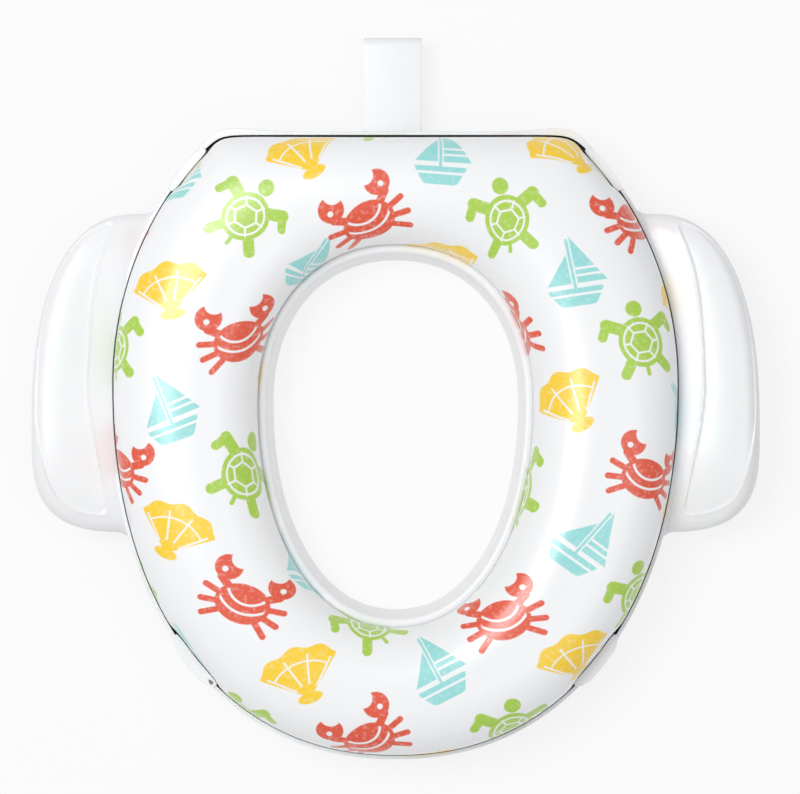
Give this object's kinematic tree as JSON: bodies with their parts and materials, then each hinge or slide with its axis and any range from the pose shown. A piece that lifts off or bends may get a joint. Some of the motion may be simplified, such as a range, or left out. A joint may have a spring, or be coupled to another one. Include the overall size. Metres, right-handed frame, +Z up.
{
  "type": "potty training seat",
  "caption": "Padded ring seat for toilet training: moulded base with a locating collar, two side grip handles, non-slip pads and a rear hanging hook.",
  "frame": {"origin": "centre of the opening in the plane of the collar's lower rim, on which the seat stands when it is put down", "axes": "+Z up, out of the cushion; +Y towards the flat rear edge and the hook; +X to the right seen from above with the rear edge away"},
  "size_m": [0.384, 0.3792, 0.0663],
  "materials": {
    "base_plastic": "white moulded polypropylene, satin gloss",
    "plate_plastic": "natural polypropylene board",
    "foam": "open-cell polyurethane foam",
    "cover_vinyl": "glossy white vinyl with a sea print in teal, coral red, yellow and green",
    "pad_rubber": "soft thermoplastic rubber",
    "hook_plastic": "frosted translucent polypropylene"
  },
  "bodies": {
    "root": {"base": "base_plastic", "cushion_plate": "plate_plastic", "cushion_foam": "foam", "cushion_cover": "cover_vinyl", "grip_pad_front_left": "pad_rubber", "grip_pad_front_right": "pad_rubber", "grip_pad_rear_left": "pad_rubber", "grip_pad_rear_right": "pad_rubber", "hanging_hook": "hook_plastic"}
  },
  "joints": []
}
